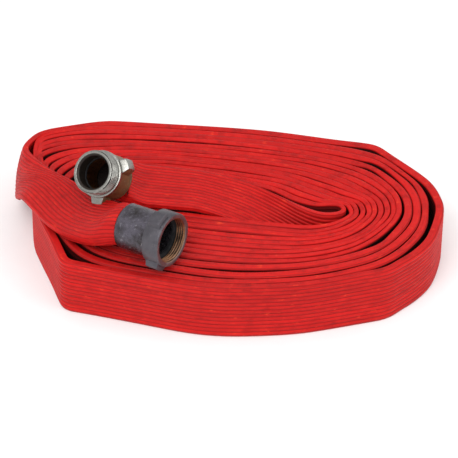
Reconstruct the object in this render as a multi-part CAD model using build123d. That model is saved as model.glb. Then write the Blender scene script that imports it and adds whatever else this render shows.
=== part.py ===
from build123d import *
import math
import os

os.makedirs("parts", exist_ok=True)

# A 38 mm lay-flat attack hose, 15.24 m long, wound on edge into an oval roll,
# with its swivel coupling and its male coupling lying on top. Millimetres, +Z up.
# The origin is on the floor, under the middle of the roll.

# ---- hose -----------------------------------------------------------------
HOSE_WIDTH = 70.0          # lay-flat width, the height of the roll
HOSE_THICK = 6.4           # two walls of 3.2 mm lying together
HOSE_WALL = 3.2
HOSE_OD = 46.0             # round end inside a coupling bowl
HOSE_BORE = HOSE_OD - 2 * HOSE_WALL
OUTLINE_SIDES = 16         # facets round a hose end
MOUTH = 1.0                # how far the round end stands out of its bowl

# outer face of the roll in plan, counter-clockwise from the front left kink
ROLL_CORNERS = [
    (-187, -111), (-141, -127), (-44, -155), (-6, -160), (77, -155), (150, -137),
    (178, -131), (209, -99), (238, -52), (250.2, -10), (239, 29), (176, 110),
    (131, 120), (48, 139), (-36, 150), (-110, 157), (-150, 160),
]
# the last turn lifts off here; beyond it the turn underneath is the outer face
ROLL_INNER_CORNERS = [
    (-150, 160 - HOSE_THICK - 1.0), (-213, 132), (-221, 104), (-222, 50), (-228, 3),
]
ROLL_KINK_RADIUS = 11.0

# ---- couplings, 1 1/2 inch NH thread, 9 threads per inch --------------------
THREAD_R = 50.55 / 2       # crest of the male thread
THREAD_LENGTH = 15.9
HOLE_R = 25.4              # root of the female thread
HOLE_LENGTH = 11.0
WATERWAY_R = 19.05
BOWL_R = 26.0
BOWL_BORE_R = HOSE_OD / 2
BOWL_DEPTH = 30.0          # how far the hose end and its gasket go into the bowl
TAIL_GASKET_THICK = 3.0
RING_WALL = 1.2            # brass expansion ring inside the hose end
RING_LENGTH = 24.0
EDGE = 0.8                 # small turned chamfer

MALE_REAR = Vector(-133.8, 2.0, 101.0)
MALE_AXIS = Vector(-0.440, -0.625, 0.645).normalized()
MALE_LENGTH = 47.0
COLLAR_R = 27.4
COLLAR_LENGTH = 4.5
MALE_LUG_TIP_R = 35.0
MALE_LUG_ANGLES = (36, 156, 276)
MALE_LUG_REAR = 8.0        # how far the lugs start from the rear end

FEMALE_REAR = Vector(-114.0, -93.7, 105.5)
FEMALE_AXIS = Vector(0.836, -0.544, 0.072).normalized()
FEMALE_LENGTH = 61.7
SWIVEL_LENGTH = 22.0
SWIVEL_R = 31.0
SWIVEL_LUG_TIP_R = 36.4
SWIVEL_LUG_ANGLES = (84, -36, -156)
NIPPLE_R = 24.0            # turned end of the tailpiece that the swivel runs on
RUNNING = 0.06             # radial clearance of the swivel on the nipple
SWIVEL_GAP = 0.4           # between the bowl's shoulder and the swivel
GASKET_THICK = 3.2
GASKET_R = 26.2
GASKET_BORE_R = 19.8
BALL_R = 2.0
BALL_COUNT = 34
BALL_CLEAR = 0.05
RACE_SCREW_R = 2.5
RACE_SCREW_ANGLE = 24.0     # round the axis, between two lugs

MALE_LUG_WIDTHS = (19.0, 13.0)     # at the root and at the tip
SWIVEL_LUG_WIDTHS = (23.0, 16.0)   # the swivel's lugs are broad and low
LUG_LENGTH = 19.0
LUG_TOP_LENGTH = 14.0
LUG_ROOT_R = 22.0          # inside the wall that the lug stands on

# directions that lug angles are counted from: nearly level, square to each axis
MALE_LEVEL = Vector(0.85, -0.52, 0.08)
FEMALE_LEVEL = Vector(-0.46, -0.66, 0.6)


def coupling_plane(rear, axis, level):
    """A plane at a coupling's rear end, its z along the axis, x near the level direction."""
    across = (level - axis * level.dot(axis)).normalized()
    return Plane(origin=rear, x_dir=across, z_dir=axis)


def turned(points):
    """A solid of revolution about local Z from (radius, height) points."""
    outline = make_face(Polyline([(r, 0, z) for r, z in points], close=True))
    return revolve(outline, Axis.Z)


def lug(tip_r, low, angle, widths):
    """One rocker lug, tapering out from the wall and rounded at the tip."""
    base = Plane(origin=(LUG_ROOT_R, 0, low + LUG_LENGTH / 2), x_dir=(0, 1, 0), z_dir=(1, 0, 0))
    top = base.offset(tip_r - LUG_ROOT_R + 1)
    sketches = [
        base * Rectangle(widths[0], LUG_LENGTH),
        top * Rectangle(widths[1], LUG_TOP_LENGTH),
    ]
    body = loft(sketches, ruled=True)
    body &= Pos(0, 0, low - 1) * Cylinder(
        tip_r, LUG_LENGTH + 2, align=(Align.CENTER, Align.CENTER, Align.MIN)
    )
    return Rot(0, 0, angle) * body


def with_lugs(body, bore_r, tip_r, low, angles, widths):
    """Body with its three lugs, which stay outside the bore."""
    core = Pos(0, 0, low - 1) * Cylinder(
        bore_r, LUG_LENGTH + 2, align=(Align.CENTER, Align.CENTER, Align.MIN)
    )
    for angle in angles:
        body += lug(tip_r, low, angle, widths) - core
    return body


# ---- roll -------------------------------------------------------------------
def roll():
    """The roll as one solid, every kink rounded but not the step where the last turn lifts off."""
    corners = ROLL_CORNERS + ROLL_INNER_CORNERS
    face = make_face(Polyline(*corners, close=True))
    step = (ROLL_CORNERS[-1], ROLL_INNER_CORNERS[0])
    kinks = [Vector(*c) for c in corners if c not in step]
    rounded = [v for v in face.vertices() if min((Vector(v) - k).length for k in kinks) < 0.1]
    return extrude(fillet(rounded, ROLL_KINK_RADIUS), HOSE_WIDTH)


# ---- hose ends --------------------------------------------------------------
def outline(centre, across, heading, width, thick, bow):
    """The hose's outline square to its heading, flat or round, its middle bowed outward."""
    heading = heading.normalized()
    across = (across - heading * across.dot(heading)).normalized()
    outward = heading.cross(across)
    squareness = 0.35 + 0.65 * thick / width
    points = []
    for i in range(OUTLINE_SIDES):
        turn = 2 * math.pi * (i + 0.5) / OUTLINE_SIDES
        flat, high = math.cos(turn), math.sin(turn)
        rise = math.copysign(abs(high) ** squareness, high) * thick / 2
        points.append(
            centre + across * (flat * width / 2) + outward * (rise + bow * (1 - flat * flat))
        )
    return Polyline(*points, close=True)


def tail(edges, thicks, bows, rear, axis, across):
    """A flattened hose end, from pairs of edge points, swelling to round just before its bowl."""
    mouth = rear - axis * MOUTH
    middles = [(Vector(*a) + Vector(*b)) / 2 for a, b in edges]
    spans = [Vector(*a) - Vector(*b) for a, b in edges]
    route = [middles[0]] + middles + [mouth]
    outlines = [
        outline(middle, span, route[i + 2] - route[i], span.length, thicks[i], bows[i])
        for i, (middle, span) in enumerate(zip(middles, spans))
    ]
    outlines.append(outline(mouth, across, axis, HOSE_OD, HOSE_OD, 0))
    return Solid.make_loft([Wire(line.edges()) for line in outlines], ruled=True)


# edge pairs of the female end: the edge that was on top, then the one underneath
FEMALE_EDGES = [
    ((-150.8, 156.7, 69.9), (-150.8, 156.7, 0.3)),
    ((-188, 150.5, 69.9), (-188, 150.5, 0.3)),
    ((-219, 138, 71), (-222, 139, 1.5)),
    ((-232, 115, 74), (-238, 114, 4.5)),
    ((-234, 90, 77), (-244, 88, 9)),
    ((-222, 62, 79), (-247, 62, 19)),
    ((-198, 35, 81), (-246, 38, 45)),
    ((-172, 14, 81), (-241, 8, 71)),
    ((-158, -6, 80), (-229, -20, 75)),
    ((-149, -26, 80), (-210, -52, 76)),
    ((-140, -45, 89), (-187, -78, 83)),
    ((-127, -61, 104), (-161, -98, 91)),
]
FEMALE_THICK = [HOSE_THICK] * 9 + [8.0, 16.0, 32.0]
FEMALE_BOW = [0, 0, 2, 3, 7, 10, 16, 8, 1, 0, 0, 0]

# edge pairs of the male end, from where it climbs out of the core: front edge, back edge
MALE_EDGES = [
    ((97, -42, 74), (95, -33, 77)),
    ((81, -41, 74), (81, -26, 80)),
    ((58, -37, 74), (59, -5, 80)),
    ((35, -33, 74), (36, 12, 80)),
    ((12, -31, 74), (13, 26, 80)),
    ((-11, -31, 74), (-10, 37, 80)),
    ((-33, -27, 74.5), (-34, 44, 79)),
    ((-58, -22, 75), (-58, 48, 79)),
    ((-80, -20, 76), (-82, 50, 81)),
    ((-101, -22, 79), (-104, 46, 85)),
    ((-118, -19, 86), (-123, 38, 94)),
]
MALE_THICK = [HOSE_THICK] * 9 + [10.0, 20.0]
MALE_BOW = [0] * 11


# ---- pieces common to both couplings ----------------------------------------
def round_end():
    """The last of the hose, clamped round inside its bowl."""
    top = BOWL_DEPTH - TAIL_GASKET_THICK
    return turned([
        (HOSE_BORE / 2, -MOUTH), (HOSE_OD / 2, -MOUTH), (HOSE_OD / 2, top), (HOSE_BORE / 2, top),
    ])


def expansion_ring():
    outer = HOSE_BORE / 2
    top = BOWL_DEPTH - TAIL_GASKET_THICK
    return turned([
        (outer - RING_WALL, top - RING_LENGTH), (outer, top - RING_LENGTH),
        (outer, top), (outer - RING_WALL, top),
    ])


def tail_gasket():
    low = BOWL_DEPTH - TAIL_GASKET_THICK
    return turned([
        (HOSE_BORE / 2 - RING_WALL, low), (BOWL_BORE_R, low),
        (BOWL_BORE_R, BOWL_DEPTH), (HOSE_BORE / 2 - RING_WALL, BOWL_DEPTH),
    ])


# ---- male coupling ----------------------------------------------------------
def male_body():
    face = MALE_LENGTH
    shoulder = face - THREAD_LENGTH
    body = turned([
        (BOWL_BORE_R, 0), (BOWL_R - EDGE, 0), (BOWL_R, EDGE),
        (BOWL_R, shoulder - COLLAR_LENGTH), (COLLAR_R, shoulder - COLLAR_LENGTH + 1.4),
        (COLLAR_R, shoulder - EDGE), (COLLAR_R - EDGE, shoulder), (THREAD_R, shoulder),
        (THREAD_R, face), (WATERWAY_R + 1.2, face), (WATERWAY_R, face - 1.2),
        (WATERWAY_R, BOWL_DEPTH), (BOWL_BORE_R, BOWL_DEPTH),
    ])
    return with_lugs(
        body, BOWL_BORE_R + 1, MALE_LUG_TIP_R, MALE_LUG_REAR, MALE_LUG_ANGLES, MALE_LUG_WIDTHS
    )


# ---- female coupling --------------------------------------------------------
SWIVEL_REAR = FEMALE_LENGTH - SWIVEL_LENGTH
HOLE_TOP = FEMALE_LENGTH - EDGE
HOLE_LOW = HOLE_TOP - HOLE_LENGTH
SEAT = HOLE_LOW - GASKET_THICK                        # face that the gasket lies on
NIPPLE_END = SEAT - 0.3
RACE = (SWIVEL_REAR + SEAT) / 2                       # height of the ball race


def race_groove():
    ring = Torus(NIPPLE_R, BALL_R + BALL_CLEAR)
    return Pos(0, 0, RACE) * ring


def tailpiece():
    shoulder = SWIVEL_REAR - SWIVEL_GAP
    body = turned([
        (BOWL_BORE_R, 0), (BOWL_R - EDGE, 0), (BOWL_R, EDGE),
        (BOWL_R, shoulder - EDGE), (BOWL_R - EDGE, shoulder), (NIPPLE_R, shoulder),
        (NIPPLE_R, NIPPLE_END), (WATERWAY_R, NIPPLE_END),
        (WATERWAY_R, BOWL_DEPTH), (BOWL_BORE_R, BOWL_DEPTH),
    ])
    return body - race_groove()


RACE_SCREW_FROM = NIPPLE_R + BALL_R + 0.6


def swivel():
    body = turned([
        (NIPPLE_R + RUNNING, SWIVEL_REAR), (SWIVEL_R - 2.0, SWIVEL_REAR),
        (SWIVEL_R, SWIVEL_REAR + 1.6), (SWIVEL_R, FEMALE_LENGTH - 1.0),
        (SWIVEL_R - 1.0, FEMALE_LENGTH), (HOLE_R + EDGE, FEMALE_LENGTH),
        (HOLE_R, HOLE_TOP), (HOLE_R, HOLE_LOW), (GASKET_R, HOLE_LOW), (GASKET_R, SEAT),
        (NIPPLE_R + RUNNING, SEAT),
    ])
    low = SWIVEL_REAR + (SWIVEL_LENGTH - LUG_LENGTH) / 2
    body = with_lugs(
        body, SWIVEL_R - 3, SWIVEL_LUG_TIP_R, low, SWIVEL_LUG_ANGLES, SWIVEL_LUG_WIDTHS
    )
    hole = plug(RACE_SCREW_FROM - 1.5, SWIVEL_R + 1)
    return body - race_groove() - hole


def plug(start_r, end_r):
    """A radial cylinder through the swivel's wall at the ball race."""
    along = Plane(origin=(start_r, 0, RACE), x_dir=(0, 1, 0), z_dir=(1, 0, 0))
    rod = along * Cylinder(
        RACE_SCREW_R, end_r - start_r, align=(Align.CENTER, Align.CENTER, Align.MIN)
    )
    return Rot(0, 0, RACE_SCREW_ANGLE) * rod


def race_screw():
    body = plug(RACE_SCREW_FROM, SWIVEL_R - 0.3)
    slot = Pos(SWIVEL_R - 0.3, 0, RACE) * Box(2.0, 0.9, 2 * RACE_SCREW_R + 1)
    return body - Rot(0, 0, RACE_SCREW_ANGLE) * slot


def swivel_gasket():
    low = SEAT + 0.02
    return turned([
        (GASKET_BORE_R, low), (GASKET_R - 0.05, low),
        (GASKET_R - 0.05, low + GASKET_THICK - 0.4), (GASKET_BORE_R, low + GASKET_THICK - 0.4),
    ])


def balls():
    one = Pos(NIPPLE_R, 0, RACE) * Sphere(BALL_R)
    return Compound([Rot(0, 0, 360 / BALL_COUNT * i) * one for i in range(BALL_COUNT)])


male_plane = coupling_plane(MALE_REAR, MALE_AXIS, MALE_LEVEL)
female_plane = coupling_plane(FEMALE_REAR, FEMALE_AXIS, FEMALE_LEVEL)

male_across = Vector(0.35, -0.78, -0.52)
male_across = (male_across - MALE_AXIS * male_across.dot(MALE_AXIS)).normalized()
female_across = Vector(0.35, 0.6, 0.72)
female_across = (female_across - FEMALE_AXIS * female_across.dot(FEMALE_AXIS)).normalized()

NODES = {
    "hose_roll": roll(),
    "hose_tail_male": tail(
        MALE_EDGES, MALE_THICK, MALE_BOW, MALE_REAR, MALE_AXIS, male_across
    ),
    "hose_tail_female": tail(
        FEMALE_EDGES, FEMALE_THICK, FEMALE_BOW, FEMALE_REAR, FEMALE_AXIS, female_across
    ),
    "hose_end_male": male_plane * round_end(),
    "hose_end_female": female_plane * round_end(),
    "male_coupling_body": male_plane * male_body(),
    "male_expansion_ring": male_plane * expansion_ring(),
    "male_tail_gasket": male_plane * tail_gasket(),
    "female_tailpiece": female_plane * tailpiece(),
    "female_expansion_ring": female_plane * expansion_ring(),
    "female_tail_gasket": female_plane * tail_gasket(),
    "female_swivel": female_plane * swivel(),
    "swivel_gasket": female_plane * swivel_gasket(),
    "swivel_balls": female_plane * balls(),
    "ball_race_screw": female_plane * race_screw(),
}

for name, shape in NODES.items():
    export_step(shape, f"parts/{name}.step")
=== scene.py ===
import math
import bmesh
import bpy
import numpy as np
from mathutils import Matrix, Vector


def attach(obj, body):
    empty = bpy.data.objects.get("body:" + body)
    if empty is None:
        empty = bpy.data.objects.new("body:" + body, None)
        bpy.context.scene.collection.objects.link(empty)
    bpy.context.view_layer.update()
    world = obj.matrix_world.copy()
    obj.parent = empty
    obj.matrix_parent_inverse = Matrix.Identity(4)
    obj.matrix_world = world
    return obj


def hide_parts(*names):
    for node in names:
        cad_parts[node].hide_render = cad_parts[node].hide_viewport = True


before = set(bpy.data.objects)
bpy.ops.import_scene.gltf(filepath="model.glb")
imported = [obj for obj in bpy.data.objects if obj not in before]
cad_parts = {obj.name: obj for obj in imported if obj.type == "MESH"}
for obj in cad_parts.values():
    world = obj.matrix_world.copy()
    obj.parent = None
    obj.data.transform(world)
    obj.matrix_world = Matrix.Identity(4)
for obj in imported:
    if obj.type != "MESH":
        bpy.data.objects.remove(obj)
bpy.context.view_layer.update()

MM = 0.001

# ---- camera ---------------------------------------------------------------------
AIM = Vector((0.0, -0.002, 0.030))
ELEVATION = math.radians(37.5)
DISTANCE = 3.0
camera_data = bpy.data.cameras.new("camera")
camera_data.lens = 202.4
camera_data.clip_end = 20.0
camera = bpy.data.objects.new("camera", camera_data)
bpy.context.scene.collection.objects.link(camera)
back = Vector((0.0, -math.cos(ELEVATION), math.sin(ELEVATION)))
camera.location = AIM + back * DISTANCE
camera.rotation_mode = "QUATERNION"
camera.rotation_quaternion = (-back).to_track_quat("-Z", "Y")
bpy.context.scene.camera = camera

# ---- hose data, in millimetres in the CAD's frame --------------------------------
ROUND = 46.0          # across its round ends

# edge pairs of the free ends: first the edge that is on top in the roll, then the
# other. The female end's pairs go from the roll to its coupling, and its bow is how
# far the middle of the hose bulges outwards.
FEMALE_EDGES = [
    ((-189, 149, 69.9), (-189, 149.5, 0.3)),
    ((-224, 137.5, 71), (-225, 139, 1.5)),
    ((-236.5, 118, 72.5), (-241, 117, 4)),
    ((-243, 98, 74), (-248, 92, 9)),
    ((-228, 72, 77.5), (-250, 64, 22)),
    ((-204, 41, 81), (-249, 38, 45)),
    ((-177, 16, 82), (-243, 10, 69)),
    ((-158, -3, 82), (-229, -18, 75)),
    ((-147, -18, 84), (-211, -50, 76)),
    ((-133, -34, 91), (-187, -79, 79)),
    ((-119, -58, 103), (-157, -103, 88)),
]
FEMALE_THICK = [7.2, 7.2, 7, 7, 7, 7, 7, 7, 7.5, 10, 22]
FEMALE_BOW = [0, 1, 3, 5, 8, 12, 7, 2, 1, 0, 0]

# the male end's pairs go from its coupling to the right end of the core
MALE_EDGES = [
    ((-123, 38, 94), (-118, -19, 86)),
    ((-104, 46, 85), (-101, -22, 79)),
    ((-82, 50, 81), (-80, -20, 76)),
    ((-58, 48, 79), (-58, -22, 75)),
    ((-34, 44, 79), (-34, -25, 75)),
    ((13, 26, 80), (13, -29, 58)),
    ((36, 12, 80), (36, -33, 45)),
    ((59, -5, 80), (59, -36, 33)),
    ((82, -22, 78), (82, -38, 17)),
    ((105, -31, 75), (105, -41, 5)),
    ((121, -27, 72), (121, -34, 2)),
    ((130, -22, 71), (130, -27, 0.6)),
]
MALE_THICK = [18, 9, 7, 7, 7, 7, 7, 7, 7, 6.6, 6.6, 6.6]

MALE_REAR = Vector((-133.8, 2.0, 101.0))
MALE_AXIS = Vector((-0.440, -0.625, 0.645)).normalized()
MALE_LEVEL = Vector((0.85, -0.52, 0.08))
FEMALE_REAR = Vector((-114.0, -93.7, 105.5))
FEMALE_AXIS = Vector((0.836, -0.544, 0.072)).normalized()
FEMALE_LEVEL = Vector((-0.46, -0.66, 0.6))
MOUTH = 1.0           # how far behind its bowl's rear end the hose is still round


def mouth_pair(rear, axis, toward, behind, width):
    """An edge pair on a bowl's axis, at a distance behind its rear end."""
    side = (toward - axis * toward.dot(axis)).normalized() * width / 2
    centre = rear - axis * behind
    return tuple(centre + side), tuple(centre - side)


# the hose comes straight out of each bowl, round, and flattens beyond it
MALE_SIDE = Vector((-0.08, 0.99, 0.14))
FEMALE_SIDE = Vector((0.57, 0.76, 0.3))
HALF_OPEN = (9.0, 50.0, 40.0)     # how far behind the bowl, how wide and how thick
for behind, width, thick in (HALF_OPEN, (MOUTH, ROUND, ROUND)):
    MALE_EDGES.insert(0, mouth_pair(MALE_REAR, MALE_AXIS, MALE_SIDE, behind, width))
    MALE_THICK.insert(0, thick)
    FEMALE_EDGES.append(mouth_pair(FEMALE_REAR, FEMALE_AXIS, FEMALE_SIDE, behind, width))
    FEMALE_THICK.append(thick)
    FEMALE_BOW.append(0)

# one row per place round the roll, counter-clockwise from its right end. In each
# row the middle of the outermost turn, of the next one in, of the fourth below
# the outermost, of the eighth below where it strays, and of the innermost turn.
PLACES = [
    ((244, -14), (226, -19), (197, -18), (133, -16)),
    ((240.5, 10), (227, 4), (196, 4), (129, -7)),
    ((234, 32), (219, 31), (189, 22), (116, -6)),
    ((221, 52), (207, 49), (177, 40), (102, -7)),
    ((187, 92), (181, 84), (161, 56), (87, 0)),
    ((175, 107), (161, 94), (140, 68), (73, 8)),
    ((158, 112), (146, 100), (116, 78), (60, 19)),
    ((130, 117), (118, 108), (92, 86), (46, 27)),
    ((90, 126.5), (80, 118), (58, 94), (26, 34)),
    ((48, 136), (40, 127), (24, 101), (5, 40)),
    ((6, 142), (0, 133.5), (-10, 107), (-18, 46)),
    ((-36, 147), (-40, 138.5), (-48, 112), (-42, 52)),
    ((-75, 151), (-78, 142.5), (-84, 116), (-66, 57)),
    ((-122, 156), (-118, 146), (-120, 119), (-88, 58)),
    ((-151, 158), (-155, 148), (-158, 119), (-104, 56)),
    ((-187, 142), (-190, 137), (-193, 108), (-170, 74), (-114, 51)),
    ((-222, 132), (-225, 125.5), (-224, 93), (-189, 50), (-119, 44)),
    ((-229.5, 110), (-225.5, 106), (-225, 74), (-195, 33), (-122, 35)),
    ((-225, 60), (-221, 56), (-205, 42), (-180, 20), (-124, 24)),
    ((-226, 5), (-219, 6), (-190, 8), (-121, 12)),
    ((-212, -35), (-204, -33), (-178, -24), (-112, 1)),
    ((-199, -70), (-186, -66), (-161, -51), (-101, -8)),
    ((-190, -97), (-171, -91), (-143, -69), (-87, -17)),
    ((-184, -112), (-153, -107), (-122, -80), (-71, -25)),
    ((-164, -118), (-131, -118), (-99, -88), (-55, -25)),
    ((-139, -125), (-105, -126), (-75, -95), (-37, -29)),
    ((-92, -139), (-72, -135), (-46, -102), (-14, -34)),
    ((-44, -153.5), (-34, -144.5), (-14, -108), (14, -38.5)),
    ((-6, -158.5), (4, -149.5), (20, -112), (40, -43)),
    ((35, -157.5), (40, -148.5), (50, -112.5), (64, -47)),
    ((77, -154), (78, -145), (80, -110), (86, -51)),
    ((114, -145), (112, -137.5), (108, -104), (104, -49)),
    ((150, -135), (145, -126.5), (134, -94), (119, -44)),
    ((177, -128), (167, -117), (151, -84), (130, -37)),
    ((193, -113), (187, -102), (167, -70), (136, -31)),
    ((209, -98.5), (203, -83), (180, -54), (139, -27)),
    ((226, -76.5), (217, -60), (189, -40), (140.5, -24)),
    ((235, -53), (224, -40), (194, -29), (140.5, -21)),
]
# turns that stand apart: how many below the outermost, the place, and the gap
LOOSE = {
    (1, 0): 2.0, (1, 2): 2.0, (1, 3): 4.0, (2, 3): 2.0, (2, 4): 4.0, (3, 4): 4.0, (4, 5): 2.5,
    (2, 14): 2.0, (4, 13): 2.0, (3, 16): 3.0, (2, 21): 3.5, (2, 22): 3.0, (4, 23): 3.0,
    (5, 24): 2.5, (1, 27): 1.2, (3, 34): 2.0,
}
TURNS = 14            # at the right end; the left end has one fewer
LEAVES = 14           # the place where the last turn becomes the female end
FRONT_KINK = (22, 23, 24)     # the places where the outermost turn folds
CORE_Y = -10.0        # the middle of the core, with an x of 0
THICKEST = 10.5
THINNEST = 5.6
OUTER_THICK = 9.5     # the outermost turn's thickness that its places are given for
TOP_EDGE = 69.6
LOW_EDGE = 0.3
LIFT = 0.9            # how far a turn stands up
LIFT_SPREAD = 1.0     # and how far that varies along it
LOW_LIFT = 0.6        # of the lift, at the lower edge
LEAN = 0.8            # how far its edges lean out or in
SLACK = 0.35          # between neighbouring turns
SLACK_SPREAD = 1.5    # and how far that varies along them
SLACK_RATE = 0.7
DRIFT = 0.5           # of the slack, outwards or inwards
DRIFT_RATE = 1.3
GAP_DRIFT = 0.4       # of the gap, outwards, where a turn stands apart
STEADY = 0.3          # the two outermost turns have only this much lift and drift
LIFT_SEED, LEAN_SEED, DRIFT_SEED = 1, 2, 7
SLACK_SEED = 3        # and the next ones, one for each turn


def place(turn, row, at):
    """The middle of a turn at a place, between the turns that the row gives."""
    outermost = TURNS - 1 if at <= LEAVES else TURNS - 2
    known = (0, outermost - 4, outermost - 1, outermost)
    if len(row) == 5:
        known = (0, outermost - 8, outermost - 4, outermost - 1, outermost)
    outward = row[::-1]
    return [float(np.interp(turn, known, [p[k] for p in outward])) for k in (0, 1)]


def smooth_noise(seed, at):
    """A slow wave between about -1 and 1 along the hose."""
    return (
        math.sin(at * 0.61 + seed * 1.7) * 0.5
        + math.sin(at * 0.233 + seed * 2.9) * 0.3
        + math.sin(at * 1.37 + seed * 4.1) * 0.2
    )


# the whole route, from the male coupling to the swivel: its upper edge, its lower
# edge, and its thickness and bow, with a nought to make three numbers
tops, lows, sizes = [], [], []
for (top, low), thick in zip(MALE_EDGES, MALE_THICK):
    tops.append(top)
    lows.append(low)
    sizes.append((thick, 0.0, 0.0))
coil_from = len(tops)
for turn in range(TURNS):
    for at, row in enumerate(PLACES):
        if turn == TURNS - 1 and at > LEAVES:
            break
        x, y = place(turn, row, at)
        step = turn * len(PLACES) + at
        outermost = TURNS - 1 if at <= LEAVES else TURNS - 2
        loose = 1.0 if turn < outermost - 1 else STEADY
        lift = LIFT * loose + LIFT_SPREAD * loose * smooth_noise(LIFT_SEED, step)
        lean = LEAN * smooth_noise(LEAN_SEED, step)

        # as thick as the nearer neighbour allows, less the slack between them
        before = place(min(turn, TURNS - 2), PLACES[at - 1], at - 1)
        after_at = (at + 1) % len(PLACES)
        after = place(min(turn, TURNS - 2), PLACES[after_at], after_at)
        run = (after[0] - before[0], after[1] - before[1])
        pitches = [THICKEST]
        for other in (turn - 1, turn + 1):
            if 0 <= other <= outermost:
                near = place(other, row, at)
                gap = (near[0] - x, near[1] - y)
                pitches.append(abs(run[0] * gap[1] - run[1] * gap[0]) / math.hypot(*run))
        apart = LOOSE.get((outermost - turn, at), 0.0)
        varied = max(0.0, smooth_noise(turn + SLACK_SEED, at * SLACK_RATE)) ** 2
        slack = SLACK + SLACK_SPREAD * varied + apart
        thick = max(min(pitches) - slack, THINNEST)

        away = Vector((x, y - CORE_Y)).normalized()
        drift = DRIFT * loose * slack * smooth_noise(DRIFT_SEED, step * DRIFT_RATE)
        drift += GAP_DRIFT * apart
        if turn == outermost and at not in FRONT_KINK:
            drift += (OUTER_THICK - thick) / 2
        x += away.x * drift
        y += away.y * drift
        tops.append((x + away.x * lean, y + away.y * lean, TOP_EDGE + lift))
        low_z = LOW_EDGE + max(lift, 0.0) * LOW_LIFT
        lows.append((x - away.x * lean, y - away.y * lean, low_z))
        sizes.append((thick, 0.0, 0.0))
coil_to = len(tops)
for (top, low), thick, bow in zip(FEMALE_EDGES, FEMALE_THICK, FEMALE_BOW):
    tops.append(top)
    lows.append(low)
    sizes.append((thick, bow, 0.0))


RESOLUTION = 5


def nurbs_points(points):
    """Points in metres along one NURBS spline with these control points."""
    curve = bpy.data.curves.new("route", "CURVE")
    curve.dimensions = "3D"
    spline = curve.splines.new("NURBS")
    spline.points.add(len(points) - 1)
    for p, q in zip(spline.points, points):
        p.co = (q[0] * MM, q[1] * MM, q[2] * MM, 1.0)
    spline.order_u = 3
    spline.use_endpoint_u = True
    spline.resolution_u = RESOLUTION
    carrier = bpy.data.objects.new("route", curve)
    mesh = bpy.data.meshes.new_from_object(carrier)
    line = np.array([v.co for v in mesh.vertices], float).reshape(-1, 3)
    bpy.data.objects.remove(carrier)
    bpy.data.meshes.remove(mesh)
    bpy.data.curves.remove(curve)
    return line


top_line = nurbs_points(tops)
low_line = nurbs_points(lows)
size_line = nurbs_points(sizes)
middle = (top_line + low_line) / 2
steps = np.linalg.norm(np.diff(middle, axis=0), axis=1)
along = np.concatenate([[0], np.cumsum(steps)])


def unit(v):
    return v / np.maximum(np.linalg.norm(v, axis=-1, keepdims=True), 1e-12)


heading = unit(np.gradient(middle, axis=0))
span = top_line - low_line
widths = np.linalg.norm(span, axis=1)
across = unit(span)
outward = unit(np.cross(heading, across))


WALL = 3.2 * MM
HOLLOW_FROM = 9 * MM        # the thickness from which its inside is modelled
OPEN_FROM = 12 * MM         # a flat section turns into an oval one from this thickness
OPEN_OVER = 8 * MM
SQUAREST = 0.22             # power of an oval's sine: 1 when round, less when flatter
FOLD_ROUND = 0.28           # of the thickness, where the hose lies flat
FOLD_RADIUS = 2.1 * MM
OUTLINE_POINTS = 721
CORNER_SHARE = 0.5          # evens out the points, so that the corners get some
QUARTER_ROUND = 36.5 * MM   # a quarter of the way round the hose
RIB_PITCH = 5.0 * MM
RIB_HEIGHT = 0.26 * MM
RIB_CLEAR = 2.5 * MM        # the ribs start this far from a fold, and are full height
RIB_FADE = 5 * MM           # this much farther on


def section(width, thick, bow, count, rib):
    """Points round the hose, as (across, outward, distance round from the face's middle)."""
    turn = np.linspace(0, 2 * math.pi, OUTLINE_POINTS)
    power = SQUAREST + (1 - SQUAREST) * (thick / width) ** 1.5
    flat, high = np.cos(turn), np.sin(turn)
    rise = np.sign(high) * np.abs(high) ** power
    opened = np.clip((thick - OPEN_FROM) / OPEN_OVER, 0, 1)
    corner = min(FOLD_ROUND * thick, FOLD_RADIUS)
    boxed_a = np.sign(flat) * (width / 2 - corner) + flat * corner
    boxed_o = np.sign(high) * (thick / 2 - corner) + high * corner
    a = flat * width / 2 * opened + boxed_a * (1 - opened)
    o = rise * thick / 2 * opened + boxed_o * (1 - opened)
    steps = np.hypot(np.diff(a), np.diff(o))
    weight = steps + CORNER_SHARE * width / len(turn)
    lengths = np.concatenate([[0], np.cumsum(weight)])
    spots = np.linspace(0, lengths[-1], count, endpoint=False)
    # a quarter of the way round is the middle of the outer face, three quarters the inner
    part = np.interp(spots, lengths, np.concatenate([[0], np.cumsum(steps)])) / steps.sum()
    round_hose = np.where(part < 0.5, 0.25 - part, part - 0.75) * 4 * QUARTER_ROUND
    a = np.interp(spots, lengths, a)
    o = np.interp(spots, lengths, o)
    if rib:
        fade = np.clip((QUARTER_ROUND - np.abs(round_hose) - RIB_CLEAR) / RIB_FADE, 0, 1)
        rise = fade * RIB_HEIGHT * np.cos(round_hose / RIB_PITCH * 2 * math.pi)
        reach = np.maximum(np.hypot(a, o), 1e-6)
        a = a + opened * rise * a / reach
        o = o + rise * (opened * o / reach + (1 - opened) * np.sign(o))
    o = o + bow * (1 - (a / (width / 2)) ** 2)
    return a, o, round_hose


# ---- materials ------------------------------------------------------------------
def node(tree, kind, values=None, **settings):
    """A shader node with its settings, and its inputs set or linked."""
    made = tree.nodes.new("ShaderNode" + kind)
    for key, value in settings.items():
        setattr(made, key, value)
    for key, value in (values or {}).items():
        if hasattr(value, "is_output"):
            tree.links.new(value, made.inputs[key])
        else:
            made.inputs[key].default_value = value
    return made


def arithmetic(tree, operation, *values, clamp=False):
    made = node(tree, "Math", dict(enumerate(values)), operation=operation, use_clamp=clamp)
    return made.outputs[0]


def ramp(tree, value, low, high, start=0.0, end=1.0):
    """Value carried from low..high to start..end, and held there outside."""
    made = node(tree, "MapRange", {0: value, 1: low, 2: high, 3: start, 4: end})
    return made.outputs[0]


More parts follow.
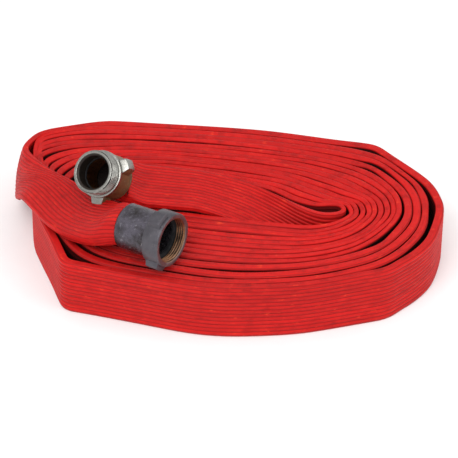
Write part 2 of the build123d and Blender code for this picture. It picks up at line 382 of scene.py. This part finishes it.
def noise(tree, vector, scale, detail=2.0, roughness=0.5):
    made = node(tree, "TexNoise", {
        "Vector": vector, "Scale": scale, "Detail": detail, "Roughness": roughness,
    })
    return made.outputs[0]


def blend(tree, amount, first, second, kind="MIX"):
    """Two colours mixed, each a colour or another node's output."""
    made = tree.nodes.new("ShaderNodeMix")
    made.data_type = "RGBA"
    made.blend_type = kind
    for key, value in ((0, amount), (6, first), (7, second)):
        if hasattr(value, "is_output"):
            tree.links.new(value, made.inputs[key])
        else:
            made.inputs[key].default_value = value if key == 0 else (*value, 1)
    return made.outputs[2]


def new_material(name):
    made = bpy.data.materials.new(name)
    made.use_nodes = True
    return made, made.node_tree, made.node_tree.nodes["Principled BSDF"]


def bumped(tree, shader, height, distance, strength=1.0):
    made = node(tree, "Bump", {"Height": height, "Distance": distance, "Strength": strength})
    tree.links.new(made.outputs[0], shader.inputs["Normal"])


WEAVE_PITCH = 2.2 * MM
RED = (0.56, 0.0075, 0.007)
DEEP_RED = (0.43, 0.006, 0.006)
WORN_RED = (0.70, 0.018, 0.012)
DARK_RED = (0.11, 0.003, 0.003)
ORANGE_RED = (0.82, 0.055, 0.018)
# painted shade: near black, deep in the gaps where a turn lies against another
GAP = (0.012, 0.003, 0.003)
GAP_DARK_FROM = 0.0013      # metres down from an edge
GAP_DARKEST = 0.0034


def rubber_material():
    """Ribbed red rubber cover: grooves with painted shade, a fine weave, streaks along it, and
    painted shade deep in the gaps between turns.
    """
    made, tree, shader = new_material("red_rubber")
    lengthwise = node(tree, "Attribute", attribute_name="lengthwise").outputs["Fac"]
    crosswise = node(tree, "Attribute", attribute_name="crosswise").outputs["Fac"]
    depth = node(tree, "Attribute", attribute_name="depth").outputs["Fac"]
    gap_shade = node(tree, "Attribute", attribute_name="gap_shade").outputs["Fac"]
    place_on = node(tree, "CombineXYZ", {0: lengthwise, 1: crosswise}).outputs[0]
    streaked = node(tree, "VectorMath", {0: place_on, 1: (9.0, 330.0, 1.0)}, operation="MULTIPLY")
    streaks = noise(tree, streaked.outputs[0], 1.0, 4.0, 0.6)
    long_streaked = node(
        tree, "VectorMath", {0: place_on, 1: (2.5, 90.0, 1.0)}, operation="MULTIPLY"
    )
    long_streaks = noise(tree, long_streaked.outputs[0], 1.0, 3.0, 0.5)
    mottle = noise(tree, place_on, 60.0, 4.0, 0.6)
    grain = noise(tree, place_on, 900.0, 2.0, 0.6)

    turned = arithmetic(tree, "MULTIPLY", crosswise, 2 * math.pi / RIB_PITCH)
    rib = arithmetic(tree, "COSINE", turned)
    # painted shade in the grooves between the ribs, uneven along them; it is blended in below as
    # dark red
    groove_shade = ramp(tree, rib, -0.55, -0.97)
    dashed = node(tree, "VectorMath", {0: place_on, 1: (55.0, 210.0, 1.0)}, operation="MULTIPLY")
    dashes = noise(tree, dashed.outputs[0], 1.0, 3.0, 0.7)
    uneven = ramp(tree, dashes, 0.34, 0.60, 0.25, 1.0)
    groove_shade = arithmetic(tree, "MULTIPLY", groove_shade, uneven)

    # short slanting stitches, in rows between the ribs
    slant = arithmetic(tree, "MULTIPLY", lengthwise, 2 * math.pi / WEAVE_PITCH)
    half_rib = arithmetic(tree, "MULTIPLY", turned, 0.5)
    weave = arithmetic(tree, "SINE", arithmetic(tree, "ADD", slant, half_rib))
    weave_back = arithmetic(tree, "SINE", arithmetic(tree, "SUBTRACT", slant, half_rib))
    weave = arithmetic(tree, "MULTIPLY", weave, weave_back)

    colour = blend(tree, ramp(tree, long_streaks, 0.38, 0.66), RED, DEEP_RED)
    colour = blend(tree, ramp(tree, mottle, 0.50, 0.80, 0.0, 0.45), colour, WORN_RED)
    colour = blend(tree, ramp(tree, streaks, 0.58, 0.80, 0.0, 0.55), colour, WORN_RED)
    colour = blend(tree, arithmetic(tree, "MULTIPLY", groove_shade, 0.70), colour, DARK_RED)
    colour = blend(tree, ramp(tree, weave, 0.1, 0.9, 0.0, 0.25), colour, WORN_RED)
    colour = blend(tree, ramp(tree, dashes, 0.50, 0.30, 0.0, 0.45), colour, DARK_RED)
    colour = blend(tree, ramp(tree, dashes, 0.62, 0.74, 0.0, 0.65), colour, ORANGE_RED)
    # painted shade deep in the gaps where the face lies against another turn, uneven along the
    # streaks
    below = ramp(tree, depth, GAP_DARK_FROM, GAP_DARKEST)
    gap = arithmetic(tree, "MULTIPLY", below, gap_shade)
    gap = arithmetic(tree, "MULTIPLY", gap, ramp(tree, long_streaks, 0.30, 0.50, 0.80, 1.0))
    colour = blend(tree, gap, colour, GAP)
    tree.links.new(colour, shader.inputs["Base Color"])
    rough = ramp(tree, grain, 0.3, 0.7, 0.46, 0.64)
    tree.links.new(rough, shader.inputs["Roughness"])
    shader.inputs["Specular IOR Level"].default_value = 0.16
    height = arithmetic(tree, "MULTIPLY", weave, 0.35)
    height = arithmetic(tree, "ADD", height, arithmetic(tree, "MULTIPLY", grain, 0.4))
    height = arithmetic(tree, "ADD", height, arithmetic(tree, "MULTIPLY", rib, 0.5))
    height = arithmetic(tree, "ADD", height, arithmetic(tree, "MULTIPLY", streaks, 0.8))
    bumped(tree, shader, height, 0.00022)
    return made


def metal_material(name, colours, roughness, grain_scale, metallic=1.0, bump=0.00006, turned=None):
    """Metal with cloudy colour, fine pits and pale scuffs, which on the dark bowl are partly
    painted highlights; turned gives it rings of tool marks.
    """
    made, tree, shader = new_material(name)
    place_in = node(tree, "TexCoord").outputs["Object"]
    clouds = noise(tree, place_in, 55.0, 5.0, 0.65)
    grain = noise(tree, place_in, grain_scale, 3.0, 0.6)
    scuffs_and_highlights = noise(tree, place_in, 260.0, 6.0, 0.75)
    colour = blend(tree, ramp(tree, clouds, 0.38, 0.62), colours[0], colours[1])
    colour = blend(tree, ramp(tree, scuffs_and_highlights, 0.58, 0.70, 0.0, 0.8), colour, colours[2])
    colour = blend(tree, ramp(tree, grain, 0.56, 0.72, 0.0, 0.5), colour, colours[3])
    tree.links.new(colour, shader.inputs["Base Color"])
    shader.inputs["Metallic"].default_value = metallic
    rough = ramp(tree, scuffs_and_highlights, 0.35, 0.70, roughness[0], roughness[1])
    tree.links.new(rough, shader.inputs["Roughness"])
    height = arithmetic(tree, "ADD", grain, scuffs_and_highlights)
    if turned:
        rear, axis = turned
        moved = node(
            tree, "VectorMath", {0: place_in, 1: tuple(rear * MM)}, operation="SUBTRACT"
        )
        level = node(
            tree, "VectorMath", {0: moved.outputs[0], 1: tuple(axis)}, operation="DOT_PRODUCT"
        )
        marks = node(tree, "CombineXYZ", {0: level.outputs["Value"]})
        rings = noise(tree, marks.outputs[0], 2600.0, 2.0, 0.6)
        height = arithmetic(tree, "ADD", height, arithmetic(tree, "MULTIPLY", rings, 1.5))
    bumped(tree, shader, height, bump)
    return made


def plain_material(name, first, second, roughness, scale=700.0):
    """Rubber or cloth in two near shades, with a fine grain."""
    made, tree, shader = new_material(name)
    place_in = node(tree, "TexCoord").outputs["Object"]
    clouds = noise(tree, place_in, 120.0, 4.0, 0.6)
    grain = noise(tree, place_in, scale, 2.0, 0.6)
    colour = blend(tree, ramp(tree, clouds, 0.35, 0.65), first, second)
    tree.links.new(colour, shader.inputs["Base Color"])
    rough = ramp(tree, grain, 0.3, 0.7, roughness - 0.08, roughness + 0.08)
    tree.links.new(rough, shader.inputs["Roughness"])
    shader.inputs["Specular IOR Level"].default_value = 0.3
    bumped(tree, shader, grain, 0.00015)
    return made


bpy.context.scene.view_settings.view_transform = "Standard"
rubber = rubber_material()
lining = plain_material("black_lining", (0.014, 0.012, 0.012), (0.03, 0.02, 0.018), 0.55)
black_rubber = plain_material("black_rubber", (0.015, 0.015, 0.016), (0.03, 0.03, 0.032), 0.5)
machined = metal_material(
    "machined_alloy",
    ((0.34, 0.335, 0.31), (0.25, 0.245, 0.225), (0.56, 0.55, 0.52), (0.15, 0.145, 0.135)),
    (0.22, 0.42), 900.0, turned=(MALE_REAR, MALE_AXIS),
)
bronze = metal_material(
    "bronze_coat",
    ((0.175, 0.125, 0.050), (0.105, 0.084, 0.042), (0.28, 0.24, 0.16), (0.05, 0.040, 0.028)),
    (0.30, 0.55), 1400.0, metallic=0.3,
)
anodised = metal_material(
    "anodised_grey",
    ((0.105, 0.098, 0.112), (0.075, 0.070, 0.082), (0.20, 0.19, 0.20), (0.035, 0.034, 0.040)),
    (0.36, 0.60), 1500.0, metallic=0.7, bump=0.0001,
)
# the dark bowl's pale clouds and scuffs: partly its mottled, scuffed anodising, partly painted
# highlights
dark_bowl_with_painted_highlights = metal_material(
    "anodised_dark_painted_highlights",
    ((0.120, 0.110, 0.135), (0.036, 0.031, 0.031), (0.42, 0.41, 0.45), (0.014, 0.012, 0.012)),
    (0.20, 0.46), 1100.0, metallic=0.88, bump=0.00016,
)
anodised_rim = metal_material(
    "anodised_worn_rim",
    ((0.20, 0.195, 0.20), (0.15, 0.145, 0.15), (0.42, 0.40, 0.38), (0.08, 0.078, 0.08)),
    (0.30, 0.5), 1200.0, metallic=0.85, turned=(FEMALE_REAR, FEMALE_AXIS),
)
copper_thread = metal_material(
    "worn_thread",
    ((0.34, 0.17, 0.085), (0.16, 0.09, 0.055), (0.55, 0.33, 0.19), (0.04, 0.03, 0.025)),
    (0.28, 0.5), 1200.0, metallic=0.9,
)
# painted shade: near black in the male bore, between the thread roots, and in the swivel between
# and below its thread
painted_shade_bore = metal_material(
    "painted_shade_bore",
    ((0.020, 0.017, 0.016), (0.034, 0.024, 0.018), (0.05, 0.035, 0.028), (0.01, 0.01, 0.01)),
    (0.3, 0.55), 1200.0, metallic=0.5,
)
brass = metal_material(
    "brass",
    ((0.55, 0.22, 0.07), (0.38, 0.15, 0.05), (0.80, 0.42, 0.18), (0.10, 0.05, 0.025)),
    (0.25, 0.45), 1100.0,
)
steel = metal_material(
    "ball_steel",
    ((0.55, 0.55, 0.56), (0.48, 0.48, 0.50), (0.66, 0.66, 0.66), (0.30, 0.30, 0.30)),
    (0.14, 0.30), 1600.0, bump=0.00002,
)


def nearest(x, y, z, low=0, high=None):
    """The route's point nearest to a place."""
    gaps = np.linalg.norm(middle[low:high] - np.array((x, y, z)) * MM, axis=1)
    return low + int(gaps.argmin())


NEARBY = 60


def control(i):
    """The route's point nearest to the middle of a control pair."""
    centre = (np.array(tops[i]) + np.array(lows[i])) / 2
    guess = int(i / (len(tops) - 1) * (len(middle) - 1))
    return nearest(*centre, max(0, guess - NEARBY), min(len(middle), guess + NEARBY))


# the pieces of both free ends start a little way inside the roll
coil_start = control(coil_from)
coil_end = control(coil_to)
male_cut = control(coil_from + 9)
last_turn = control(coil_to - len(PLACES) + 2)
female_cut = control(coil_to - 7)

# how much painted shade each face gets where it lies against another turn: 1 in the roll, the
# innermost turn's inner face somewhat less, fading over 8 to 20 points to 0 where the hose comes
# into the open
CORE_DARK = 0.85
index = np.arange(len(middle))
uncovered = control(coil_to - len(PLACES) - 2)
first_turn_end = control(coil_from + len(PLACES) - 4)
shade_outward = np.interp(
    index, (coil_start - 8, coil_start, uncovered, uncovered + 10), (0, 1, 1, 0)
)
shade_inward = np.interp(
    index,
    (coil_start - 20, coil_start, first_turn_end, first_turn_end + 20, coil_end, coil_end + 15),
    (0, CORE_DARK, CORE_DARK, 1, 1, 0),
)

HOSE_SHARP = math.radians(62)


def hose_mesh(name, first, last, count, rib, mouth=None):
    """A stretch of hose between two points of the route, hollow from its mouth if it has one."""
    picks = list(range(first, last + 1))
    inner = []
    if mouth == "last":
        inner = [i for i in reversed(picks) if i > coil_end and size_line[i, 0] > HOLLOW_FROM]
    if mouth == "first":
        picks.reverse()
        inner = [i for i in reversed(picks) if i < coil_start and size_line[i, 0] > HOLLOW_FROM]
    points, crosswise, depths, gap_shade = [], [], [], []
    for i in picks + inner:
        trim = 0.0 if len(points) < len(picks) else 2 * WALL
        a, o, round_hose = section(
            widths[i] - trim, size_line[i, 0] - trim, size_line[i, 1], count, rib
        )
        points.append(middle[i] + a[:, None] * across[i] + o[:, None] * outward[i])
        crosswise.append(round_hose)
        depths.append(widths[i] / 2 - np.abs(a))
        # how much painted gap shade each point gets, by the face it is on
        gap_shade.append(np.where(o > 0, shade_outward[i], shade_inward[i]))
    points = np.array(points)
    rings = len(points)
    faces = []
    for r in range(rings - 1):
        for c in range(count):
            d = (c + 1) % count
            faces.append((r * count + c, (r + 1) * count + c, (r + 1) * count + d, r * count + d))
    faces.append(tuple(range(count)))
    faces.append(tuple(range(rings * count - 1, (rings - 1) * count - 1, -1)))
    if mouth != "first":
        faces = [f[::-1] for f in faces]
    mesh = bpy.data.meshes.new(name)
    mesh.from_pydata(points.reshape(-1, 3).tolist(), [], faces)
    mesh.validate()
    mesh.update()
    lengthwise = mesh.attributes.new("lengthwise", "FLOAT", "POINT")
    lengthwise.data.foreach_set("value", np.repeat(along[picks + inner], count).astype(np.float32))
    for label, rows in (("crosswise", crosswise), ("depth", depths), ("gap_shade", gap_shade)):
        values = mesh.attributes.new(label, "FLOAT", "POINT")
        values.data.foreach_set("value", np.concatenate(rows).astype(np.float32))
    mesh.materials.append(rubber)
    mesh.materials.append(lining)
    lined_from = (len(picks) - 1) * count
    for k, polygon in enumerate(mesh.polygons):
        polygon.use_smooth = True
        if inner and k >= lined_from:
            polygon.material_index = 1
    mesh.set_sharp_from_angle(angle=HOSE_SHARP)
    obj = bpy.data.objects.new(name, mesh)
    bpy.context.scene.collection.objects.link(obj)
    return obj


# points round the hose, and whether it has ribs: only where a face shows
RIBBED = (170, True)
PLAIN = (48, False)
half_way = (male_cut + last_turn) // 2
male_end = hose_mesh("hose_male_end", 0, male_cut, *RIBBED, "first")
inner_turns = hose_mesh("hose_turns_inner", male_cut, half_way, *PLAIN)
middle_turns = hose_mesh("hose_turns_middle", half_way, last_turn, *PLAIN)
outer_turn = hose_mesh("hose_turn_outer", last_turn, female_cut, *RIBBED)
female_end = hose_mesh("hose_female_end", female_cut, len(middle) - 1, *RIBBED, "last")

for piece in (male_end, inner_turns, middle_turns, outer_turn, female_end):
    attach(piece, "hose")
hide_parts("hose_roll")
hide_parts("hose_tail_male")
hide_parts("hose_tail_female")


# ---- couplings ------------------------------------------------------------------
SIDES = 160
THREAD_PITCH = 25.4 / 9
THREAD_STEP = 0.34
FLANK = 1.3           # slope and offset that give a thread its flat root and crest
FLAT_ROOT = 0.15
SHARP = math.radians(34)
EDGE_ANGLE = math.radians(40)


def coupling_matrix(rear, axis, level):
    """From a coupling's own millimetres, z along its axis, to the scene."""
    x = (level - axis * level.dot(axis)).normalized()
    y = axis.cross(x)
    frame_of = Matrix((x, y, axis)).transposed().to_4x4()
    return Matrix.Translation(rear * MM) @ frame_of @ Matrix.Scale(MM, 4)


def thread_rows(low, high, root, crest, fade_low, fade_high):
    """Rings of a right-hand thread, with a radius for each side."""
    around = np.arange(SIDES) / SIDES
    rows = []
    for height in np.linspace(low, high, int((high - low) / THREAD_STEP)):
        part = (height / THREAD_PITCH - around) % 1.0
        ridge = np.clip((1 - np.abs(2 * part - 1)) * FLANK - FLAT_ROOT, 0, 1)
        fade = min((height - low) / fade_low, (high - height) / fade_high, 1.0)
        rows.append((root + (crest - root) * ridge * max(fade, 0.0), height))
    return rows


def mesh_object(name, points, faces):
    """A closed mesh with all its faces turned outwards."""
    mesh = bpy.data.meshes.new(name)
    mesh.from_pydata(np.asarray(points, float).tolist(), [], faces)
    work = bmesh.new()
    work.from_mesh(mesh)
    bmesh.ops.recalc_face_normals(work, faces=work.faces)
    work.to_mesh(mesh)
    work.free()
    obj = bpy.data.objects.new(name, mesh)
    bpy.context.scene.collection.objects.link(obj)
    return obj


def lathe(name, rows):
    """A closed ring of rows, each a radius, or one for each side, and a height."""
    around = np.arange(SIDES) * 2 * math.pi / SIDES
    points, faces = [], []
    for radius, height in rows:
        r = np.broadcast_to(radius, SIDES)
        points += list(zip(r * np.cos(around), r * np.sin(around), np.full(SIDES, height)))
    for i in range(len(rows)):
        j = (i + 1) % len(rows)
        for k in range(SIDES):
            m = (k + 1) % SIDES
            faces.append((i * SIDES + k, i * SIDES + m, j * SIDES + m, j * SIDES + k))
    return mesh_object(name, points, faces)


def lug_mesh(name, root_r, tip_r, low, angles, tapers):
    """Rocker lugs round the axis, each tapering out and rounded at its tip."""
    columns = np.linspace(-1, 1, 7)
    last = len(columns) - 1
    points, faces = [], []
    for angle in angles:
        first = len(points)
        for radius, tip in ((root_r, False), (tip_r, True)):
            part = (radius - tapers["from"]) / (tip_r + 1 - tapers["from"])
            half = (tapers["root"] + (tapers["tip"] - tapers["root"]) * part) / 2
            length = tapers["length"] + (tapers["tip_length"] - tapers["length"]) * part
            for end in (-0.5, 0.5):
                for u in columns:
                    y = u * half
                    x = math.sqrt(radius**2 - y**2) if tip else radius
                    z = low + tapers["length"] / 2 + end * length
                    turn = math.radians(angle)
                    points.append((
                        x * math.cos(turn) - y * math.sin(turn),
                        x * math.sin(turn) + y * math.cos(turn), z,
                    ))
        rows = [first + k * len(columns) for k in range(4)]
        for a, b in ((0, 1), (1, 3), (3, 2), (2, 0)):
            for c in range(last):
                faces.append((rows[a] + c, rows[a] + c + 1, rows[b] + c + 1, rows[b] + c))
        faces.append(tuple(rows[k] for k in (0, 1, 3, 2)))
        faces.append(tuple(rows[k] + last for k in (0, 1, 3, 2)))
    return mesh_object(name, points, faces)


def applied(obj):
    """The object with its modifiers made part of its mesh."""
    bpy.context.view_layer.update()
    shaped = obj.evaluated_get(bpy.context.evaluated_depsgraph_get())
    mesh = bpy.data.meshes.new_from_object(shaped)
    obj.modifiers.clear()
    old = obj.data
    obj.data = mesh
    bpy.data.meshes.remove(old)
    return obj


def combine(body, tool, operation):
    """Body joined with or cut by a tool, which is used up."""
    change = body.modifiers.new("combine", "BOOLEAN")
    change.operation = operation
    change.solver = "EXACT"
    change.object = tool
    applied(body)
    bpy.data.objects.remove(tool)
    return body


def bevelled(obj, width):
    """The object with its sharp edges rounded off."""
    edges = obj.modifiers.new("edges", "BEVEL")
    edges.width = width
    edges.segments = 3
    edges.limit_method = "ANGLE"
    edges.angle_limit = EDGE_ANGLE
    return applied(obj)


def finished(obj, matrix, materials, pick):
    """Materials chosen by each face's middle and normal, then the piece put in its place."""
    for made in materials:
        obj.data.materials.append(made)
    for polygon in obj.data.polygons:
        polygon.material_index = pick(polygon.center, polygon.normal)
        polygon.use_smooth = True
    obj.data.set_sharp_from_angle(angle=SHARP)
    obj.data.transform(matrix)
    obj.data.update()
    return obj


MALE_AT = coupling_matrix(MALE_REAR, MALE_AXIS, MALE_LEVEL)
FEMALE_AT = coupling_matrix(FEMALE_REAR, FEMALE_AXIS, FEMALE_LEVEL)

# male coupling: bowl, collar, thread and waterway
male_rows = [
    (23.0, 0.0), (25.3, 0.0), (25.8, 0.25), (26.0, 0.8), (26.0, 3.0), (25.7, 3.3), (25.7, 3.9),
    (26.0, 4.2), (26.0, 26.2), (26.3, 26.8), (27.2, 27.6), (27.4, 28.1), (27.4, 30.3),
    (27.2, 30.8), (26.7, 31.1), (23.5, 31.1),
]
male_rows += thread_rows(31.3, 46.7, 23.44, 25.275, 1.2, 1.0)
male_rows += [
    (23.9, 46.9), (23.6, 47.0), (21.3, 47.0), (20.9, 46.8), (20.0, 45.9), (19.05, 44.8),
    (19.05, 30.0), (23.0, 30.0),
]
MALE_LUGS = {"from": 22.0, "root": 19.0, "tip": 13.0, "length": 19.0, "tip_length": 14.0}
SWIVEL_LUGS = {"from": 22.0, "root": 23.0, "tip": 16.0, "length": 19.0, "tip_length": 14.0}
MALE_LUGS_AT = (36, 156, 276)
SWIVEL_LUGS_AT = (84, -36, -156)
MALE_BORE = 21.1
MALE_ROOT = 24.35
MALE_THREAD = (31.2, 46.2)
BRIGHT_FROM = 20.5        # along the axis, from where the body isn't coated
LUG_TIPS = 33.0           # worn bright outside this

male_body = lathe("male_coupling", male_rows)
male_lugs = bevelled(lug_mesh("male_lugs", 24.4, 35.0, 8.0, MALE_LUGS_AT, MALE_LUGS), 0.9)
combine(male_body, male_lugs, "UNION")


def male_finish(centre, normal):
    """0 machined, 1 bronze, 2 painted shade in the bore and between the threads."""
    radius = math.hypot(centre.x, centre.y)
    threaded = MALE_THREAD[0] < centre.z < MALE_THREAD[1]
    if radius < MALE_BORE or (radius < MALE_ROOT and threaded):
        return 2
    return 0 if centre.z > BRIGHT_FROM or radius > LUG_TIPS else 1


finished(male_body, MALE_AT, (machined, bronze, painted_shade_bore), male_finish)

# swivel: ball race, gasket seat, female thread and lugs
NIPPLE_R = 24.0
SWIVEL_BORE = 24.06
RACE_AT = 43.2
RACE_R = 2.05
RACE_STEPS = 8
SWIVEL_FLOOR = 49.8       # the thread lies between this and the mouth
SWIVEL_MOUTH = 60.4
SWIVEL_CREST = 24.9
SWIVEL_ROOT = 25.9
SEAT_TOP = 50
SEAT_R = 26.3
RIM_FROM = 61
swivel_rows = [
    (SWIVEL_BORE, 39.7), (28.6, 39.7), (29.4, 39.95), (30.6, 40.9), (31.0, 41.6), (31.0, 60.4),
    (30.8, 61.0), (30.3, 61.6), (29.8, 61.7), (26.4, 61.7), (25.8, 61.3),
]
swivel_rows += thread_rows(49.9, 61.0, 25.4, 23.77, 1.0, 1.4)[::-1]
swivel_rows += [(25.5, 49.7), (26.2, 49.7), (26.2, 46.5), (SWIVEL_BORE, 46.5)]
for step in range(RACE_STEPS + 1):
    turn = math.pi / 2 - math.pi * step / RACE_STEPS
    radius = max(NIPPLE_R + RACE_R * math.cos(turn), SWIVEL_BORE)
    swivel_rows.append((radius, RACE_AT + RACE_R * math.sin(turn)))
swivel = lathe("swivel_ring", swivel_rows)
swivel_lugs = lug_mesh("swivel_lugs", 28.6, 36.4, 41.2, SWIVEL_LUGS_AT, SWIVEL_LUGS)
combine(swivel, bevelled(swivel_lugs, 0.8), "UNION")


def swivel_finish(centre, normal):
    """0 anodised, 1 worn on the rim, 2 bare on the threads, 3 painted shade between and below
    them.
    """
    radius = math.hypot(centre.x, centre.y)
    if radius < SWIVEL_ROOT and centre.z > SWIVEL_FLOOR:
        return 2 if radius < SWIVEL_CREST or centre.z > SWIVEL_MOUTH else 3
    if radius < SEAT_R and centre.z < SEAT_TOP:
        return 3
    return 1 if normal.z > 0.75 and centre.z > RIM_FROM else 0


finished(swivel, FEMALE_AT, (anodised, anodised_rim, copper_thread, painted_shade_bore), swivel_finish)


LINING_R = 20.5


def end_finish(centre, normal):
    """0 the red cover, 1 the black lining."""
    return int(math.hypot(centre.x, centre.y) < LINING_R)


def round_end(name, matrix):
    """The last of the hose, clamped round in its bowl."""
    rows = [
        (20.0, -1.0), (22.8, -1.0), (23.0, -0.8), (23.0, 0.1), (22.98, 26.8), (22.8, 27.0),
        (20.0, 27.0), (19.82, 26.8), (19.82, -0.8),
    ]
    return finished(lathe(name, rows), matrix, (rubber, lining), end_finish)


male_round = round_end("hose_round_end_male", MALE_AT)
female_round = round_end("hose_round_end_female", FEMALE_AT)

for piece, body, slot, replaced in (
    (male_body, "hose", "bright_aluminium", "male_coupling_body"),
    (swivel, "swivel", "dark_aluminium", "female_swivel"),
    (male_round, "hose", "hose_rubber", "hose_end_male"),
    (female_round, "hose", "hose_rubber", "hose_end_female"),
):
    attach(piece, body)
    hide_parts(replaced)

NODE_FINISH = {
    "male_expansion_ring": brass,
    "female_expansion_ring": brass,
    "male_tail_gasket": black_rubber,
    "female_tail_gasket": black_rubber,
    "swivel_gasket": black_rubber,
    "female_tailpiece": dark_bowl_with_painted_highlights,
    "swivel_balls": steel,
    "ball_race_screw": steel,
}
for name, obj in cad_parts.items():
    finish = NODE_FINISH.get(name)
    if finish:
        obj.data.materials.clear()
        obj.data.materials.append(finish)


# ---- studio ---------------------------------------------------------------------
REACH = 6
corners = [(-REACH, -REACH, 0), (REACH, -REACH, 0), (REACH, REACH, 0), (-REACH, REACH, 0)]
floor_mesh = bpy.data.meshes.new("floor")
floor_mesh.from_pydata(corners, [], [(0, 1, 2, 3)])
floor = bpy.data.objects.new("floor", floor_mesh)
bpy.context.scene.collection.objects.link(floor)
paper, paper_tree, paper_shader = new_material("pale_floor")
paper_grain = noise(paper_tree, node(paper_tree, "TexCoord").outputs["Object"], 40.0)
paper_tone = blend(paper_tree, paper_grain, (0.80, 0.80, 0.80), (0.83, 0.83, 0.83))
paper_tree.links.new(paper_tone, paper_shader.inputs["Base Color"])
paper_shader.inputs["Roughness"].default_value = 0.9
paper_shader.inputs["Emission Color"].default_value = (1, 1, 1, 1)
paper_shader.inputs["Emission Strength"].default_value = 0.12
floor_mesh.materials.append(paper)

world = bpy.data.worlds.new("studio")
bpy.context.scene.world = world
world.use_nodes = True
world.node_tree.nodes["Background"].inputs["Color"].default_value = (1, 1, 1, 1)
world.node_tree.nodes["Background"].inputs["Strength"].default_value = 0.85


def area_light(name, place, size, power):
    """A square soft light that points at what the camera points at."""
    data = bpy.data.lights.new(name, "AREA")
    data.size = size
    data.energy = power
    obj = bpy.data.objects.new(name, data)
    bpy.context.scene.collection.objects.link(obj)
    obj.location = place
    direction = AIM - obj.location
    obj.rotation_mode = "QUATERNION"
    obj.rotation_quaternion = direction.to_track_quat("-Z", "Y")


area_light("key", (-0.8, -1.6, 2.2), 1.6, 38)
area_light("fill", (1.8, -0.6, 1.6), 1.8, 16)
